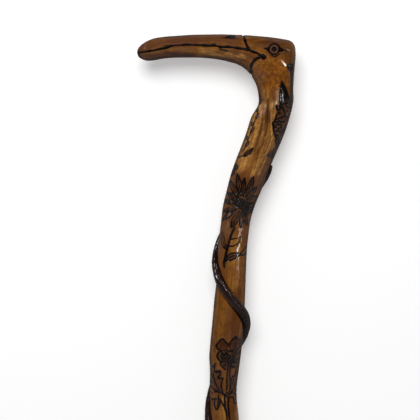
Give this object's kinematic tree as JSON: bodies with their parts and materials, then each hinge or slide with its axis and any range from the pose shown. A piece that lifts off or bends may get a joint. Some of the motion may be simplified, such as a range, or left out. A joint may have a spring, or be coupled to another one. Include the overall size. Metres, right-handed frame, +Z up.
{
  "type": "carved walking stick",
  "caption": "Wooden walking stick with a long-beaked bird's head for a handle, a dark vine wound down the shaft, and a ferruled foot with a rubber tip.",
  "frame": {"origin": "centre of the rubber tip's flat underside, where the stick stands on the floor", "axes": "+Z up the stick, +X towards the back of the bird's head so that the beak points along -X, +Y away from the carved front"},
  "size_m": [0.1348, 0.0394, 0.9],
  "materials": {
    "wood": "gloss varnish over stained, burned and carved wood",
    "vine": "dark stained bark under gloss varnish",
    "horn": "polished horn",
    "pupil": "polished black bead",
    "brass": "worn satin",
    "steel": "dulled",
    "rubber": "matt moulded"
  },
  "bodies": {
    "root": {"stick": "wood", "vine": "vine", "left_eye_ring": "horn", "left_eye_pupil": "pupil", "right_eye_ring": "horn", "right_eye_pupil": "pupil", "vine_brad_1": "steel", "vine_brad_2": "steel", "vine_brad_3": "steel", "vine_brad_4": "steel", "vine_brad_5": "steel", "vine_brad_6": "steel", "ferrule": "brass", "ferrule_plug": "steel", "ferrule_nail_front": "brass", "ferrule_nail_back": "brass", "tip_washer": "steel", "rubber_tip": "rubber"}
  },
  "joints": []
}
